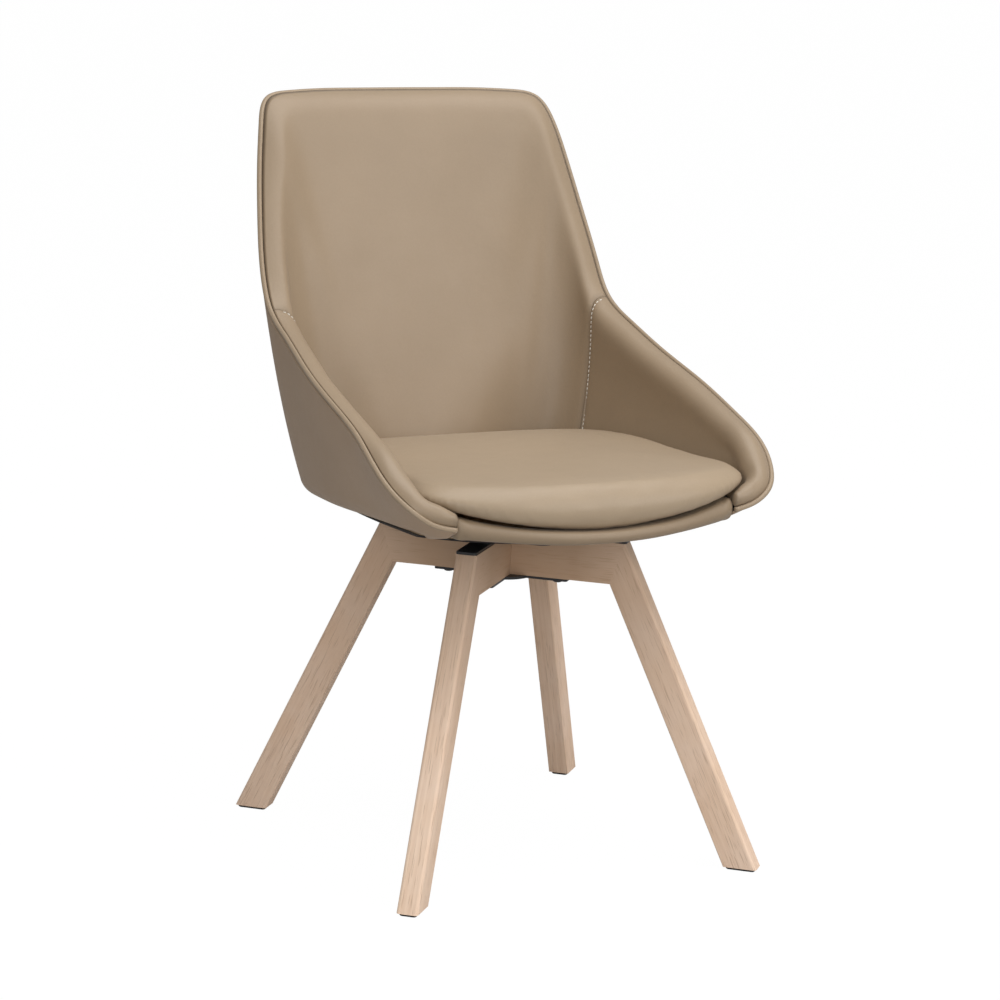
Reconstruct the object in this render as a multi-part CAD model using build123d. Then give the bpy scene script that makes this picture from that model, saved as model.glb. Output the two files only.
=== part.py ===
"""A swivel dining chair: a padded bucket seat with a piped rim, turning on a ball bearing plate
above four splayed wooden legs.

Millimetres, +Z up. The origin is on the floor, on the swivel axis. The sitter faces -Y and +X is
the sitter's left. The legs stand on the diagonals.
"""

import os
from math import atan, cos, degrees, radians, sin, sqrt, tan

from build123d import *

# ---- driving sizes -------------------------------------------------------------------------------

# wooden base
frame_height = 370.4        # floor to the top of the rails
rail_height = 48.5
wood_thickness = 25.0       # legs and rails alike
leg_width = 35.5            # across the leg, square to its length
leg_splay = 25.2            # degrees from upright, along the diagonal
foot_radius = 321.8         # swivel axis to the outer corner of a foot
leg_round = 4.0             # rounding of the leg's outer long edges
leg_soften = 1.5            # rounding of its inner long edges
lap_clearance = 0.2         # side play where the rails cross

dowel_diameter = 6.0
dowel_length = 36.0
dowel_spacing = 11.0        # between the two dowels of a mitre
dowel_clearance = 0.05      # radial
dowel_height_share = 0.42   # how far up the mitre the dowels sit

glide_height = 3.0
glide_margin = 2.5          # glide edge to the edge of the foot
nail_diameter = 2.6
nail_length = 18.0
nail_clearance = 0.05

# steel plates of the base
plate_thickness = 3.0
top_plate_overhang = 1.497  # its arms end this far past the rail's corner
bottom_plate_reach = 80.0   # arm length from the axis
plate_arm_width = 24.0
plate_middle_radius = 34.0  # round middle of the crosses
plate_eye_radius = 20.5     # hole in the middle of the top plate

frame_bolt_diameter = 6.0
frame_bolt_radius = 66.0    # where the frame bolts stand on the diagonals
bolt_head_radius = 5.6
bolt_head_height = 3.4
nut_across = 10.0
nut_height = 3.4
thread_clearance = 0.1
hole_clearance = 0.3        # radial, for bolts through wood and plate

# ball bearing swivel
race_plate_thickness = 2.5
lower_plate_half = 78.0
upper_plate_half_x = 98.0
upper_plate_half_y = 60.0
plate_corner = 16.0
ball_diameter = 7.0
ball_count = 24
ball_circle_radius = 42.0
race_depth = 1.0
ball_clearance = 0.04
cage_thickness = 1.6
cage_margin = 3.2           # ring left beside the balls
pivot_radius = 14.0
pivot_wall = 2.0
pivot_flange = 19.0
pivot_flange_thickness = 1.5
pivot_clearance = 0.08

# seat mounting
seat_bolt_diameter = 6.0
seat_bolt_x = 80.0
seat_bolt_y = 36.0
tee_barrel_radius = 4.0
tee_flange_radius = 9.0
tee_flange_thickness = 1.4
tee_depth = 9.0
seat_tilt = 1.7             # degrees, front edge up
spacer_height = 11.52       # tilted wedge under the seat, on the axis
spacer_half_x = 100.0
spacer_half_y = 64.0
spacer_corner = 18.0
board_thickness = 12.0
dust_thickness = 1.0

# padded bucket; heights of the seat's pieces are above the seat's underside on the axis
cover_thickness = 2.5
shell_thickness = 7.0
layer_gap = 0.3             # between skin, shell and padding
flange_reach = 36.0         # how far the skin turns in under the seat
heel_radius = 17.0          # rounding of the lower edge
arm_bulge = 5.0             # outward swell of the side walls
back_bulge = 9.0            # and of the back
pad_roll = 25.0             # width of the padded roll beside the piping
pad_low_thickness = 10.0    # padding at cushion height
back_pad_thickness = 36.0
piping_radius = 3.0
piping_inset = 2.4          # piping centre inside the outer face
piping_clearance = 0.8
shell_drop = 5.5            # shell edge below the rim
shell_setback = 5.0         # its turned-in edge ends short of the skin's
pad_wrap_depth = 7.0        # padding starts here, over the shell's edge
pad_lower_edge = 24.0       # padding ends this far above the lower edge
roll_lift = 3.0             # crest of the roll above the piping
nose_lift = 18.0            # the same at the front of the arms

# front band
band_half_length = 175.7
band_depth = 40.0           # front to back on the centre line
band_end_depth = 25.0       # and at its ends
band_front = -245.0         # foremost point, on the centre line
band_sweep = 31.0           # how far its ends fall back
band_bottom = 11.0
band_bottom_rise = 11.0     # lift of the lower edge at the ends
band_top = 25.5
band_top_rise = 23.0
band_back_fall = 5.0        # its top slopes down to the back

# seat cushion
cushion_centre_y = -60.0    # its widest place
cushion_front_depth = 176.0
cushion_rear_depth = 241.0
cushion_half_width = 200.0
cushion_front_power = 7.0   # squareness of the corners in plan
cushion_rear_power = 6.0
cushion_side_x = 197.0      # the rear part of a side starts here at y = 0
cushion_taper = 0.133       # and closes in by this per length
cushion_crown = 81.0        # top of the crown
cushion_side_drop = 6.0     # crown height lost towards the sides
cushion_side_start = 0.8    # the side rounding starts at this share of the half width
cushion_side_roll = 16.0    # height of the side rounding
cushion_rear_drop = 13.0
cushion_rear_round = 26.0
cushion_rear_tuck = 14.0    # lower rear edge drawn in
cushion_front_rise = 1.5    # its lower front edge leaves the band by this at the sides
cushion_deck_rise = 34.0    # underside lifted over the bucket's rounded heel
cushion_clearance = 0.8

# seat board and dust cover
board_margin = 1.3          # board edge to the turned-in edge of the bucket
dust_overlap = 6.0          # dust cover past the board's edge
dust_window_gap = 3.0       # its opening round the spacer

cut_size = 2000.0           # cutting blocks reach past the whole chair

os.makedirs("parts", exist_ok=True)


def save(shape, name):
    export_step(shape, f"parts/{name}.step")


# ---- shared places -------------------------------------------------------------------------------

splay_slope = tan(radians(leg_splay))
rail_bottom = frame_height - rail_height
outer_corner = foot_radius - splay_slope * frame_height
leg_run = leg_width / cos(radians(leg_splay))
inner_corner = foot_radius - leg_run - splay_slope * rail_bottom

bottom_plate_z = rail_bottom - plate_thickness
top_plate_z = frame_height
lower_race_z = top_plate_z + plate_thickness
ball_centre_z = lower_race_z + race_plate_thickness - race_depth + ball_diameter / 2 + ball_clearance
upper_race_z = ball_centre_z + ball_diameter / 2 + ball_clearance - race_depth
spacer_z = upper_race_z + race_plate_thickness
seat_under_height = spacer_z + spacer_height
top_plate_reach = outer_corner + top_plate_overhang
tilt_slope = tan(radians(seat_tilt))

leg_angles = {"front_left": -45, "front_right": -135, "back_left": 45, "back_right": 135}
bolt_angles = list(leg_angles.values())


def seat_under(y):
    """Height of the seat's flat underside."""
    return seat_under_height - tilt_slope * y


def around(shape, angle):
    return Rot(0, 0, angle) * shape


def upright(radius, height, x, y, z):
    """A vertical cylinder standing on z."""
    return Pos(x, y, z + height / 2) * Cylinder(radius, height)


def on_diagonals(shape):
    return [around(shape, angle) for angle in bolt_angles]


# ---- wooden base ---------------------------------------------------------------------------------

def side_prism(*points):
    """Outline in the radius-height plane, given the wood's thickness."""
    outline = Plane.XZ * make_face(Polyline(*points, close=True))
    return extrude(outline, wood_thickness / 2, both=True)


mitre_x = inner_corner + (outer_corner - inner_corner) * dowel_height_share
mitre_z = rail_bottom + rail_height * dowel_height_share
mitre_lean = degrees(atan((outer_corner - inner_corner) / rail_height))


def dowel_pair(radius, length):
    """Two pins square to the mitre, side by side."""
    pin = Rot(0, 90 + mitre_lean, 0) * Cylinder(radius, length)
    return [Pos(mitre_x, side * dowel_spacing / 2, mitre_z) * pin for side in (-1, 1)]


def leg():
    foot = foot_radius - splay_slope * glide_height
    body = side_prism((outer_corner, frame_height), (inner_corner, rail_bottom),
                      (foot - leg_run, glide_height), (foot, glide_height))
    slanted = [edge for edge in body.edges() if edge.length > frame_height * 0.8]
    slanted.sort(key=lambda edge: edge.center().X)
    body = fillet(slanted[2:], leg_round)
    inner = [edge for edge in body.edges() if edge.length > frame_height * 0.8]
    inner.sort(key=lambda edge: edge.center().X)
    body = fillet(inner[:2], leg_soften)
    for hole in dowel_pair(dowel_diameter / 2 + dowel_clearance, dowel_length + 1):
        body -= hole
    body -= Pos(glide_place, 0, 0) * nail(nail_diameter / 2 + nail_clearance, nail_length + 1)
    return body


glide_place = foot_radius - splay_slope * glide_height - leg_run / 2


def nail(radius, length):
    return upright(radius, length, 0, 0, glide_height / 2)


def glide():
    """Thin pad under a foot, with the nail's head sunk into it."""
    pad = Pos(glide_place, 0, glide_height / 2) * Box(
        leg_run - 2 * glide_margin, wood_thickness - 2 * glide_margin, glide_height)
    pad = fillet(pad.edges().filter_by(Axis.Z), 4)
    pad = chamfer(pad.faces().sort_by(Axis.Z)[0].edges(), 0.8)
    return pad - Pos(glide_place, 0, 0) * nail(nail_diameter / 2 + nail_clearance, nail_length)


def rail(notch_above):
    """One bar from mitre to mitre, cut half away where the other crosses it."""
    bar = side_prism((-outer_corner, frame_height), (outer_corner, frame_height),
                     (inner_corner, rail_bottom), (-inner_corner, rail_bottom))
    notch_z = frame_height if notch_above else rail_bottom
    bar -= Pos(0, 0, notch_z) * Box(wood_thickness + 2 * lap_clearance, wood_thickness * 2, rail_height)
    for end in (0, 180):
        for hole in dowel_pair(dowel_diameter / 2 + dowel_clearance, dowel_length + 1):
            bar -= around(hole, end)
        bar -= around(frame_hole(), end)
    return bar


def frame_hole():
    return upright(frame_bolt_diameter / 2 + hole_clearance, frame_height, frame_bolt_radius, 0, 30)


def cross_plate(reach, z):
    """Flat steel cross with a round middle, whose arms lie along the rails."""
    arm = Box(2 * reach, plate_arm_width, plate_thickness)
    arm = fillet(arm.edges().filter_by(Axis.Z), 3)
    cross = around(arm, 45) + around(arm, -45) + Cylinder(plate_middle_radius, plate_thickness)
    cross = Pos(0, 0, z + plate_thickness / 2) * cross
    for hole in on_diagonals(frame_hole()):
        cross -= hole
    return cross


def frame_bolt():
    """Domed head under the lower plate, thread through both plates, the rail and the swivel."""
    length = lower_race_z + race_plate_thickness + nut_height + 0.6 - bottom_plate_z
    shank = upright(frame_bolt_diameter / 2, length, frame_bolt_radius, 0, bottom_plate_z)
    head = upright(bolt_head_radius, bolt_head_height, frame_bolt_radius, 0,
                   bottom_plate_z - bolt_head_height)
    head = fillet(head.faces().sort_by(Axis.Z)[0].edges(), bolt_head_height * 0.6)
    return shank + head


def frame_nut():
    nut = extrude(RegularPolygon(nut_across / 2, 6, major_radius=False), nut_height)
    nut -= upright(frame_bolt_diameter / 2 + thread_clearance, nut_height, 0, 0, 0)
    return Pos(frame_bolt_radius, 0, lower_race_z + race_plate_thickness) * nut


def build_base():
    for name, angle in leg_angles.items():
        save(around(leg(), angle), f"leg_{name}")
        save(around(glide(), angle), f"glide_{name}")
    save(around(rail(True), -45), "rail_lower")
    save(around(rail(False), 45), "rail_upper")
    dowels = [around(pin, angle) for angle in bolt_angles
              for pin in dowel_pair(dowel_diameter / 2, dowel_length)]
    save(Compound(children=dowels), "mitre_dowels")
    nails = on_diagonals(Pos(glide_place, 0, 0) * nail(nail_diameter / 2, nail_length))
    save(Compound(children=nails), "glide_nails")
    save(cross_plate(bottom_plate_reach, bottom_plate_z), "bottom_cross_plate")
    top = cross_plate(top_plate_reach, top_plate_z)
    save(top - upright(plate_eye_radius, plate_thickness, 0, 0, top_plate_z), "top_cross_plate")
    save(Compound(children=on_diagonals(frame_bolt())), "frame_bolts")
    save(Compound(children=on_diagonals(frame_nut())), "frame_nuts")


# ---- ball bearing swivel -------------------------------------------------------------------------

def plate_blank(half_x, half_y, z):
    blank = Box(2 * half_x, 2 * half_y, race_plate_thickness)
    blank = fillet(blank.edges().filter_by(Axis.Z), plate_corner)
    return Pos(0, 0, z + race_plate_thickness / 2) * blank


def race_groove():
    """The ring swept by a ball, with its running clearance."""
    return Pos(0, 0, ball_centre_z) * Torus(ball_circle_radius, ball_diameter / 2 + ball_clearance)


def swivel_lower_plate():
    plate = around(plate_blank(lower_plate_half, lower_plate_half, lower_race_z), 45)
    plate -= upright(pivot_radius + pivot_clearance, race_plate_thickness, 0, 0, lower_race_z)
    plate -= race_groove()
    for hole in on_diagonals(frame_hole()):
        plate -= hole
    return plate


def seat_bolt_places():
    return [(x * seat_bolt_x, y * seat_bolt_y) for x in (-1, 1) for y in (-1, 1)]


def swivel_upper_plate():
    plate = plate_blank(upper_plate_half_x, upper_plate_half_y, upper_race_z)
    plate -= upright(pivot_radius + pivot_clearance, race_plate_thickness, 0, 0, upper_race_z)
    plate -= race_groove()
    for x, y in seat_bolt_places():
        plate -= upright(seat_bolt_diameter / 2 + hole_clearance, race_plate_thickness, x, y, upper_race_z)
    return plate


def swivel_pivot():
    """Flanged sleeve that holds the two plates together."""
    bottom = lower_race_z - pivot_flange_thickness
    top = spacer_z + pivot_clearance + pivot_flange_thickness
    sleeve = upright(pivot_radius, top - bottom, 0, 0, bottom)
    for z in (bottom, top - pivot_flange_thickness):
        sleeve += upright(pivot_flange, pivot_flange_thickness, 0, 0, z)
    return sleeve - upright(pivot_radius - pivot_wall, top - bottom, 0, 0, bottom)


def ball_places():
    return PolarLocations(ball_circle_radius, ball_count)


def ball_cage():
    ring = Cylinder(ball_circle_radius + ball_diameter / 2 + cage_margin, cage_thickness)
    ring -= Cylinder(ball_circle_radius - ball_diameter / 2 - cage_margin, cage_thickness)
    pocket = Cylinder(ball_diameter / 2 + ball_clearance, cage_thickness)
    for place in ball_places():
        ring -= place * pocket
    return Pos(0, 0, ball_centre_z) * ring


def bearing_balls():
    ball = Sphere(ball_diameter / 2)
    return [Pos(0, 0, ball_centre_z) * place * ball for place in ball_places()]


def tilt_spacer():
    """Moulded wedge between the level swivel plate and the tilted seat."""
    top = seat_under(-spacer_half_y) + 1
    block = Box(2 * spacer_half_x, 2 * spacer_half_y, top - spacer_z)
    block = fillet(block.edges().filter_by(Axis.Z), spacer_corner)
    block = Pos(0, 0, (top + spacer_z) / 2) * block
    block -= upright(pivot_flange + 3, top - spacer_z, 0, 0, spacer_z)
    for x, y in seat_bolt_places():
        block -= upright(seat_bolt_diameter / 2 + hole_clearance, top - spacer_z, x, y, spacer_z)
    return block - under_seat_half_space()


def tilted(height_above):
    """Plane of the seat's underside, raised square to itself."""
    return Pos(0, 0, seat_under_height) * Rot(-seat_tilt, 0, 0) * Pos(0, 0, height_above)


def under_seat_half_space():
    """Everything above the underside plane."""
    return tilted(cut_size / 2) * Box(cut_size, cut_size, cut_size)


def seat_bolt(x, y):
    """From under the swivel plate up into its tee nut."""
    top = seat_under(y) + board_thickness - tee_flange_thickness - 0.5
    shank = upright(seat_bolt_diameter / 2, top - upper_race_z, x, y, upper_race_z)
    head = upright(bolt_head_radius, bolt_head_height, x, y, upper_race_z - bolt_head_height)
    return shank + fillet(head.faces().sort_by(Axis.Z)[0].edges(), bolt_head_height * 0.6)


def tee_nut(x, y):
    top = seat_under(y) + board_thickness
    nut = upright(tee_barrel_radius, tee_depth, x, y, top - tee_depth)
    nut += upright(tee_flange_radius, tee_flange_thickness, x, y, top - tee_flange_thickness)
    return nut - upright(seat_bolt_diameter / 2 + thread_clearance, tee_depth, x, y, top - tee_depth)


def build_swivel():
    save(swivel_lower_plate(), "swivel_lower_plate")
    save(swivel_upper_plate(), "swivel_upper_plate")
    save(swivel_pivot(), "swivel_pivot")
    save(ball_cage(), "ball_cage")
    save(Compound(children=bearing_balls()), "bearing_balls")
    save(tilt_spacer(), "tilt_spacer")
    save(Compound(children=[seat_bolt(x, y) for x, y in seat_bolt_places()]), "seat_bolts")
    save(Compound(children=[tee_nut(x, y) for x, y in seat_bolt_places()]), "tee_nuts")


# ---- padded bucket -------------------------------------------------------------------------------

# Ribs of the bucket's sitter's-left half, from the front band round to the middle of the back. Each
# runs from a point on the piping down the outside to the lower edge. Heights are above the seat's
# underside on the axis.
ribs = [
    # piping point          lower edge point
    ((176, -217, 29), (176, -194, 17.5)),       # behind the end of the front band
    ((201, -216, 36), (187, -186, 17.5)),
    ((223, -211, 48), (194, -171, 18)),
    ((240, -190, 66), (199, -149, 18)),         # front corner of the arm
    ((248, -154, 91), (201, -118, 16)),         # widest point
    ((245, -102, 116), (202, -78, 14)),
    ((243, -28, 141), (202, -18, 11)),
    ((237, 58, 167), (197, 62, 5)),
    ((231, 122, 191), (189, 120, 0.5)),
    ((227.5, 178, 219), (178, 165, -4)),        # the arm turns up into the back here
    ((225, 203, 255), (165, 188, -6.5)),
    ((217.5, 231, 312), (148, 204, -7.5)),
    ((206, 261, 380), (125, 214, -8)),
    ((197, 279, 419), (98, 219, -8.2)),
    ((182, 297, 446), (74, 221, -8.3)),         # rounded top corner
    ((150, 306, 452.5), (56, 222, -8.3)),
    ((104, 313.5, 454), (38, 222.5, -8.4)),
    ((52, 318.5, 454), (19, 223, -8.4)),
    ((0, 320, 454), (0, 223, -8.4)),            # middle of the back
]
front_headings = (0, 12, 35, 58, 78)            # degrees the first ribs have turned from the front
seam_rib = 9                # where arm pad and back pad are sewn together
corner_rib = 14             # the back pad has its full thickness from here
nose_ribs = 5.5             # the front roll has sunk to its usual height by here
gather_front = -150.0       # the other ribs turn inward towards the line between these two
gather_rear = 120.0
flange_fall = 8.0           # the turned-in edge falls no more than this below the lower edge


class Rib:
    """One cross-section plane of the bucket, with its own two axes: p outward, q up the wall."""

    def __init__(self, number, side):
        (rim_x, rim_y, rim_z), (foot_x, foot_y, foot_z) = ribs[number]
        self.number = number
        foot_z += seat_under_height
        self.foot = Vector(side * foot_x, foot_y, foot_z)
        rim = Vector(side * rim_x, rim_y, rim_z + seat_under_height)
        if number < len(front_headings):
            turned = radians(front_headings[number])
            inward = Vector(-side * sin(turned), cos(turned), 0)
        else:
            goal = Vector(0, min(max(foot_y, gather_front), gather_rear), foot_z)
            inward = (goal - self.foot).normalized()
        inner = self.foot + inward * flange_reach
        inner.Z = max(seat_under(inner.Y), foot_z - flange_fall)
        self.across = (self.foot - inner).normalized()
        reach = rim - self.foot
        self.up = (reach - self.across * reach.dot(self.across)).normalized()
        self.rim = (reach.dot(self.across), reach.dot(self.up))
        self.length = sqrt(self.rim[0] ** 2 + self.rim[1] ** 2)
        before, after = ribs[max(number - 1, 0)][0], ribs[min(number + 1, len(ribs) - 1)][0]
        along = Vector(side * (after[0] - before[0]), after[1] - before[1], after[2] - before[2])
        if number == len(ribs) - 1:
            along = Vector(1, 0, 0)
        self.slant = sin(radians(reach.get_angle(along)))
        on_back = min(max((number - seam_rib) / (corner_rib - seam_rib), 0.0), 1.0)
        self.on_back = on_back * on_back * (3 - 2 * on_back)

    def at(self, p, q):
        return self.foot + self.across * p + self.up * q

    def below(self, distance):
        """Share of the wall's height that lies this far from the rim, square to the rim."""
        return 1 - distance / (self.length * self.slant)

    def wall(self, depth, share):
        """Point on the wall, depth inside the outer face, share of the way up."""
        rim_p, rim_q = self.rim
        length = self.length
        corner_p = -depth * (length - rim_p) / rim_q
        top_p = rim_p - depth * rim_q / length
        top_q = rim_q + depth * rim_p / length
        bulge = arm_bulge + (back_bulge - arm_bulge) * self.on_back
        bulge *= min(1.0, rim_q / 100) * 4 * share * (1 - share)
        p = corner_p + (top_p - corner_p) * share + bulge * rim_q / length
        q = depth + (top_q - depth) * share - bulge * rim_p / length
        return p, q

    def front_lift(self):
        """Extra height of the roll where it comes round from the front."""
        return max(0.0, (nose_lift - roll_lift) * (1 - (self.number / nose_ribs) ** 2))

    def heel(self):
        return min(heel_radius, self.rim[1] * 0.6)

    def arc(self, first, middle, last):
        return ThreePointArc(self.at(*first), self.at(*middle), self.at(*last))

    def line(self, first, last):
        return Line(self.at(*first), self.at(*last))

    def lower_path(self, depth, top_share, end):
        """Its top point, and wall, rounded heel and flange as three edges from the top inward."""
        radius = max(self.heel() - depth, 1.0) + depth * 0.4
        start_share = radius / self.length
        top = self.wall(depth, top_share)
        bend = self.wall(depth, start_share)
        corner = self.wall(depth, 0)
        under = (corner[0] - radius, depth)
        middle = tuple(0.5 * (0.5 * (a + b) + c) for a, b, c in zip(bend, under, corner))
        middle = tuple(m * 0.84 + 0.16 * 0.5 * (a + b) for m, a, b in zip(middle, bend, under))
        half = self.wall(depth, 0.5 * (top_share + start_share))
        return top, [self.arc(top, half, bend), self.arc(bend, middle, under),
                     self.line(under, (-end, depth))]

    def layer(self, outer, inner, drop, end):
        """Closed section of a wrapped layer lying between two depths below the outer face."""
        top_a, path_a = self.lower_path(outer, self.below(drop), end)
        top_b, path_b = self.lower_path(inner, self.below(drop), end)
        sides = [self.line(top_a, top_b), self.line((-end, outer), (-end, inner))]
        return Wire(path_a + path_b + sides)


def all_round(first):
    middle = len(ribs) - 1
    right = [Rib(number, -1) for number in range(first, middle)]
    left = [Rib(number, 1) for number in range(middle, first - 1, -1)]
    return right + left


def outer_cover():
    """Skin from under the piping down the outside and in under the seat."""
    drop = piping_radius + piping_clearance
    sections = [rib.layer(0, cover_thickness, drop, flange_reach) for rib in all_round(0)]
    return Solid.make_loft(sections)


shell_depth = cover_thickness + layer_gap
pad_depth = shell_depth + shell_thickness + layer_gap


def shell_loft(outer, inner, drop):
    end = flange_reach - shell_setback
    return Solid.make_loft([rib.layer(outer, inner, drop, end) for rib in all_round(1)])


def bucket_shell():
    return shell_loft(shell_depth, shell_depth + shell_thickness, shell_drop)


def pad_section(rib):
    """Outer side inside the shell, roll over the rim, inner face and lower edge."""
    thickness = pad_low_thickness + (back_pad_thickness - pad_low_thickness) * rib.on_back
    low = min(pad_lower_edge / rib.length, 0.35)
    half = (low + 1) / 2
    bottom_out = rib.wall(pad_wrap_depth, low)
    top_out = rib.wall(pad_wrap_depth, 1)
    crest = (top_out[0] - 0.45 * pad_roll, rib.rim[1] + roll_lift + rib.front_lift())
    fall = min(0.62 * pad_roll, 0.5 * (crest[1] - bottom_out[1]))
    shoulder = (top_out[0] - pad_roll, crest[1] - fall)
    bottom_in = (rib.wall(pad_depth, low)[0] - thickness, bottom_out[1])
    inner = rib.wall(pad_depth, half - 0.04)
    nose = max(0.0, 1 - rib.number / 2)
    inner = ((1 - nose) * (inner[0] - thickness) + nose * (0.5 * (shoulder[0] + bottom_in[0]) - 1),
             (1 - nose) * inner[1] + nose * 0.5 * (shoulder[1] + bottom_in[1]))
    return Wire([rib.arc(bottom_out, rib.wall(pad_wrap_depth, half), top_out),
                 rib.arc(top_out, crest, shoulder),
                 rib.arc(shoulder, inner, bottom_in),
                 rib.line(bottom_in, bottom_out)])


def behind_seam(side):
    """Block behind the seam between an arm pad and the back pad."""
    rib = Rib(seam_rib, side)
    rearward = rib.up.cross(rib.across) * side
    return Plane(rib.foot, z_dir=rearward) * Pos(0, 0, cut_size / 2) * Box(cut_size, cut_size, cut_size)


def build_padding():
    """The padding is one ring fitted to the shell, parted at the two seams."""
    ring = Solid.make_loft([pad_section(rib) for rib in all_round(0)])
    ring -= shell_loft(-pad_wrap_depth, pad_depth, shell_drop - layer_gap)
    save(ring & behind_seam(1) & behind_seam(-1), "back_pad")
    for side, name in ((1, "left"), (-1, "right")):
        half = Pos(side * cut_size / 2, 0, 0) * Box(cut_size, cut_size, cut_size)
        save((ring & half) - behind_seam(side), f"arm_pad_{name}")


def rim_piping():
    """Cord sewn round the whole rim, from one end of the front band to the other."""
    centres = [rib.at(*rib.wall(piping_inset, 1)) for rib in all_round(0)]
    rings = []
    for before, centre, after in zip([centres[0]] + centres, centres, centres[1:] + [centres[-1]]):
        rings.append(Plane(centre, z_dir=after - before) * Wire.make_circle(piping_radius))
    return Solid.make_loft(rings)


def band_shape(x):
    """Front, back, lowest and highest place of the rolled front edge at x."""
    share = (x / band_half_length) ** 2
    front = band_front + band_sweep * share
    back = front + band_depth - (band_depth - band_end_depth) * share
    low = seat_under_height + band_bottom + band_bottom_rise * share
    high = seat_under_height + band_top + band_top_rise * share
    return front, back, low, high


def band_section(x):
    front, back, low, high = band_shape(x)

    def point(y, z):
        return Vector(x, y, z)

    return Wire([
        ThreePointArc(point(front + 9, low), point(front, low + 0.45 * (high - low)), point(front + 10, high)),
        Line(point(front + 10, high), point(back, high - band_back_fall)),
        Line(point(back, high - band_back_fall), point(back, low)),
        Line(point(back, low), point(front + 9, low)),
    ])


def front_band():
    places = [-1, -0.75, -0.45, 0, 0.45, 0.75, 1]
    return Solid.make_loft([band_section(share * band_half_length) for share in places])


def cushion_section(x):
    """Front-to-back section of the cushion: front, crown, rear and underside."""
    wide = abs(x) / cushion_half_width
    rounding = max(0.0, (wide - cushion_side_start) / (1 - cushion_side_start))
    rounding = 1 - sqrt(1 - min(rounding, 1.0) ** 2)
    front = cushion_centre_y - cushion_front_depth * (1 - wide ** cushion_front_power) ** (1 / cushion_front_power)
    corner = cushion_rear_depth * (1 - wide ** cushion_rear_power) ** (1 / cushion_rear_power)
    side = (cushion_side_x - abs(x)) / cushion_taper - cushion_centre_y
    rear = cushion_centre_y + (corner ** -4 + side ** -4) ** -0.25
    low = band_shape(x)[3] + cushion_clearance + cushion_front_rise * wide ** 2
    top = seat_under_height + cushion_crown - cushion_side_drop * wide ** 2 - cushion_side_roll * rounding
    deck = board_top(rear - cushion_rear_tuck) + cushion_clearance + cushion_deck_rise * wide ** 6 + 6 * rounding
    middle = 0.4 * front + 0.6 * rear
    rear_top = top - cushion_rear_drop

    def point(y, z):
        return Vector(x, y, z)

    nose = point(front + 5, low)
    brow = point(front + 0.32 * (top - low), top - 0.16 * (top - low))
    nape = point(rear - cushion_rear_round, rear_top)
    heel = point(rear - cushion_rear_tuck, deck)
    return Wire([
        ThreePointArc(nose, point(front, low + 0.42 * (top - low)), brow),
        ThreePointArc(brow, point(middle, top), nape),
        ThreePointArc(nape, point(rear, 0.5 * (rear_top + deck)), heel),
        Line(heel, nose),
    ])


def board_top(y):
    return seat_under(y) + board_thickness


def seat_cushion():
    shares = [0, 0.34, 0.6, 0.77, 0.87, 0.93, 0.975]
    places = [-share for share in reversed(shares[1:])] + shares
    return Solid.make_loft([cushion_section(share * cushion_half_width) for share in places])


def board_outline(margin):
    """Plan of the seat board: round the turned-in edges and behind the front band."""
    sides = [rib.at(-flange_reach - margin, 0) for rib in all_round(4)]
    places = [(point.X, point.Y) for point in sides]
    front_y = band_shape(0)[1] + margin
    return make_face(Spline(*places) + ThreePointArc(places[-1], (0, front_y), places[0]))


def sheet_under_seat(margin, bottom, thickness):
    """Flat tilted sheet between two heights above the seat's underside."""
    prism = extrude(board_outline(margin), cut_size / 2)
    return prism & (tilted(bottom + thickness / 2) * Box(cut_size, cut_size, thickness))


def seat_board():
    board = sheet_under_seat(board_margin, 0, board_thickness)
    for x, y in seat_bolt_places():
        board -= upright(tee_barrel_radius + thread_clearance, 60, x, y, seat_under_height - 20)
        seat = board_top(y) - tee_flange_thickness
        board -= upright(tee_flange_radius + thread_clearance, 20, x, y, seat)
    return board


def dust_cover():
    """Thin sheet stapled under the board, open round the spacer."""
    sheet = sheet_under_seat(board_margin - dust_overlap, -dust_thickness - layer_gap, dust_thickness)
    window = Box(2 * spacer_half_x + 2 * dust_window_gap, 2 * spacer_half_y + 2 * dust_window_gap, 60)
    window = fillet(window.edges().filter_by(Axis.Z), spacer_corner)
    return sheet - Pos(0, 0, seat_under_height) * window


def build_bucket():
    save(outer_cover(), "outer_cover")
    save(bucket_shell(), "bucket_shell")
    build_padding()
    save(rim_piping(), "rim_piping")
    save(front_band(), "front_band")
    save(seat_cushion(), "seat_cushion")
    save(seat_board(), "seat_board")
    save(dust_cover(), "dust_cover")


build_base()
build_swivel()
build_bucket()
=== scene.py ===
import math

import bpy
import numpy as np
from mathutils import Matrix, Vector


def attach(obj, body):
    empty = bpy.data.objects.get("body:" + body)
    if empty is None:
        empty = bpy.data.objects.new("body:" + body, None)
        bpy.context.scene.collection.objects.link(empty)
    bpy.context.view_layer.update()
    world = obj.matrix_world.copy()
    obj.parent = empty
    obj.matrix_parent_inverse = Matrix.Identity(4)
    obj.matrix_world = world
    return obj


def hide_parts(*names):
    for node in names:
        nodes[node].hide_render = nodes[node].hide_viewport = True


# A swivel dining chair: padded leather bucket on a ball bearing plate and splayed wooden legs.
# Shapes are worked out in millimetres; a mesh is made in metres.

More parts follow.
